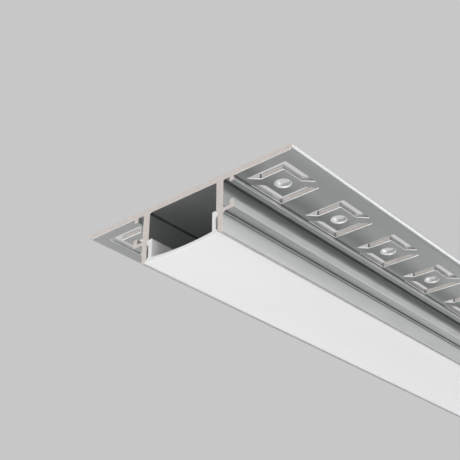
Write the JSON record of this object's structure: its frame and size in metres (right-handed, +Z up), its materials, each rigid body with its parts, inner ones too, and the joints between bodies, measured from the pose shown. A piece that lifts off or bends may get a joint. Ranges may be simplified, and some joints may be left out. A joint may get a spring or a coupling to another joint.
{
  "type": "recessed led strip profile",
  "caption": "Plaster-in ceiling profile for an LED strip: extruded channel under a perforated mounting plate, closed below by a snap-in opal cover that slides along the bar.",
  "frame": {"origin": "middle of the plate's upper face, which lies against the ceiling", "axes": "+Z up, out of the plate's upper face; +Y along the bar, away from the near end; X across"},
  "size_m": [0.061, 0.3, 0.0143],
  "materials": {
    "anodised_aluminium": "satin anodised, cut ends bare and saw-cut",
    "opal_plastic": "opal, satin"
  },
  "bodies": {
    "profile": {"profile_body": "anodised_aluminium"},
    "cover": {"diffuser_cover": "opal_plastic"}
  },
  "joints": [
    {"name": "cover_slide", "type": "slide", "parent": "profile", "child": "cover", "axis": [0, 1, 0], "range_m": [-0.28, 0.28]}
  ]
}
